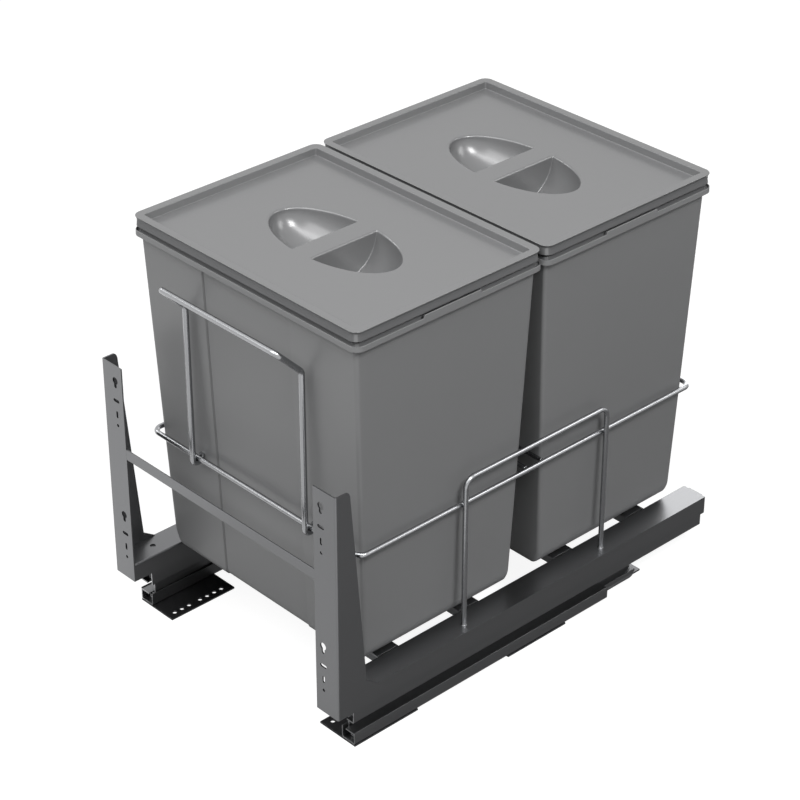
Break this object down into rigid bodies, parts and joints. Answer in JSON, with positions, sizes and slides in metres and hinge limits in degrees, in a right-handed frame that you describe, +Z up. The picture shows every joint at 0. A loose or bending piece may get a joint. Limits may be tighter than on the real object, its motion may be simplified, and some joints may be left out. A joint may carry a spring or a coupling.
{
  "type": "built-in waste bin",
  "caption": "Pull-out waste bin for a base cabinet: two lidded plastic bins in a wire ring on a steel carriage with ball slides and door brackets.",
  "frame": {"origin": "middle of the footprint, on the cabinet floor under the foot plates, with the carriage closed", "axes": "+Z up, -Y towards the cabinet door and out of the cabinet, +X to the right seen from the door"},
  "size_m": [0.35, 0.536, 0.4562],
  "materials": {
    "lid_plastic": "fine satin grain, mid grey",
    "bin_plastic": "fine satin grain, slate grey",
    "cover_paint": "anthracite powder coat, satin",
    "rail_paint": "anthracite powder coat, satin",
    "foot_paint": "dark powder coat, satin",
    "wire_metal": "satin nickel-plated wire",
    "ball_steel": "polished bearing steel, oiled",
    "cage_steel": "bright zinc-plated strip"
  },
  "bodies": {
    "base": {"fixed_rail_left": "rail_paint", "fixed_rail_right": "rail_paint", "front_foot_left": "foot_paint", "front_foot_right": "foot_paint", "middle_foot_left": "foot_paint", "middle_foot_right": "foot_paint", "back_foot_left": "foot_paint", "back_foot_right": "foot_paint"},
    "carriage": {"moving_rail_left": "rail_paint", "moving_rail_right": "rail_paint", "cover_rail_left": "cover_paint", "cover_rail_right": "cover_paint", "door_bracket_left": "cover_paint", "door_bracket_right": "cover_paint", "side_wire_left": "wire_metal", "side_wire_right": "wire_metal", "front_crossbar": "cover_paint", "front_bin_front_strap": "cover_paint", "front_bin_back_strap": "cover_paint", "back_bin_front_strap": "cover_paint", "back_bin_back_strap": "cover_paint", "wire_ring": "wire_metal", "front_divider_wire": "wire_metal", "back_divider_wire": "wire_metal"},
    "front_frame": {"front_wire_frame": "wire_metal"},
    "front_bin_body": {"front_bin": "bin_plastic"},
    "back_bin_body": {"back_bin": "bin_plastic"},
    "front_lid_body": {"front_lid": "lid_plastic"},
    "back_lid_body": {"back_lid": "lid_plastic"},
    "middle_slide_left": {"middle_rail_left": "rail_paint"},
    "lower_race_left": {"lower_ball_cage_left": "cage_steel", "lower_balls_left": "ball_steel"},
    "upper_race_left": {"upper_ball_cage_left": "cage_steel", "upper_balls_left": "ball_steel"},
    "middle_slide_right": {"middle_rail_right": "rail_paint"},
    "lower_race_right": {"lower_ball_cage_right": "cage_steel", "lower_balls_right": "ball_steel"},
    "upper_race_right": {"upper_ball_cage_right": "cage_steel", "upper_balls_right": "ball_steel"}
  },
  "joints": [
    {"name": "carriage_slide", "type": "slide", "parent": "base", "child": "carriage", "axis": [0, -1, 0], "range_m": [0, 0.48]},
    {"name": "middle_slide_left_run", "type": "slide", "parent": "base", "child": "middle_slide_left", "axis": [0, -1, 0], "range_m": [0, 0.24]},
    {"name": "lower_race_left_run", "type": "slide", "parent": "base", "child": "lower_race_left", "axis": [0, -1, 0], "range_m": [0, 0.12]},
    {"name": "upper_race_left_run", "type": "slide", "parent": "base", "child": "upper_race_left", "axis": [0, -1, 0], "range_m": [0, 0.36]},
    {"name": "middle_slide_right_run", "type": "slide", "parent": "base", "child": "middle_slide_right", "axis": [0, -1, 0], "range_m": [0, 0.24]},
    {"name": "lower_race_right_run", "type": "slide", "parent": "base", "child": "lower_race_right", "axis": [0, -1, 0], "range_m": [0, 0.12]},
    {"name": "upper_race_right_run", "type": "slide", "parent": "base", "child": "upper_race_right", "axis": [0, -1, 0], "range_m": [0, 0.36]},
    {"name": "front_frame_swing", "type": "hinge", "parent": "carriage", "child": "front_frame", "pos_m": [0, -0.22243, 0.2099], "axis": [1, 0, 0], "range_deg": [0, 72]},
    {"name": "front_bin_lift", "type": "slide", "parent": "carriage", "child": "front_bin_body", "axis": [0, 0, 1], "range_m": [0, 0.4]},
    {"name": "front_lid_lift", "type": "slide", "parent": "front_bin_body", "child": "front_lid_body", "axis": [0, 0, 1], "range_m": [0, 0.12]},
    {"name": "back_bin_lift", "type": "slide", "parent": "carriage", "child": "back_bin_body", "axis": [0, 0, 1], "range_m": [0, 0.4]},
    {"name": "back_lid_lift", "type": "slide", "parent": "back_bin_body", "child": "back_lid_body", "axis": [0, 0, 1], "range_m": [0, 0.12]}
  ],
  "couplings": [
    {"joint": "middle_slide_left_run", "follows": "carriage_slide", "ratio": 0.5},
    {"joint": "lower_race_left_run", "follows": "carriage_slide", "ratio": 0.25},
    {"joint": "upper_race_left_run", "follows": "carriage_slide", "ratio": 0.75},
    {"joint": "middle_slide_right_run", "follows": "carriage_slide", "ratio": 0.5},
    {"joint": "lower_race_right_run", "follows": "carriage_slide", "ratio": 0.25},
    {"joint": "upper_race_right_run", "follows": "carriage_slide", "ratio": 0.75}
  ]
}
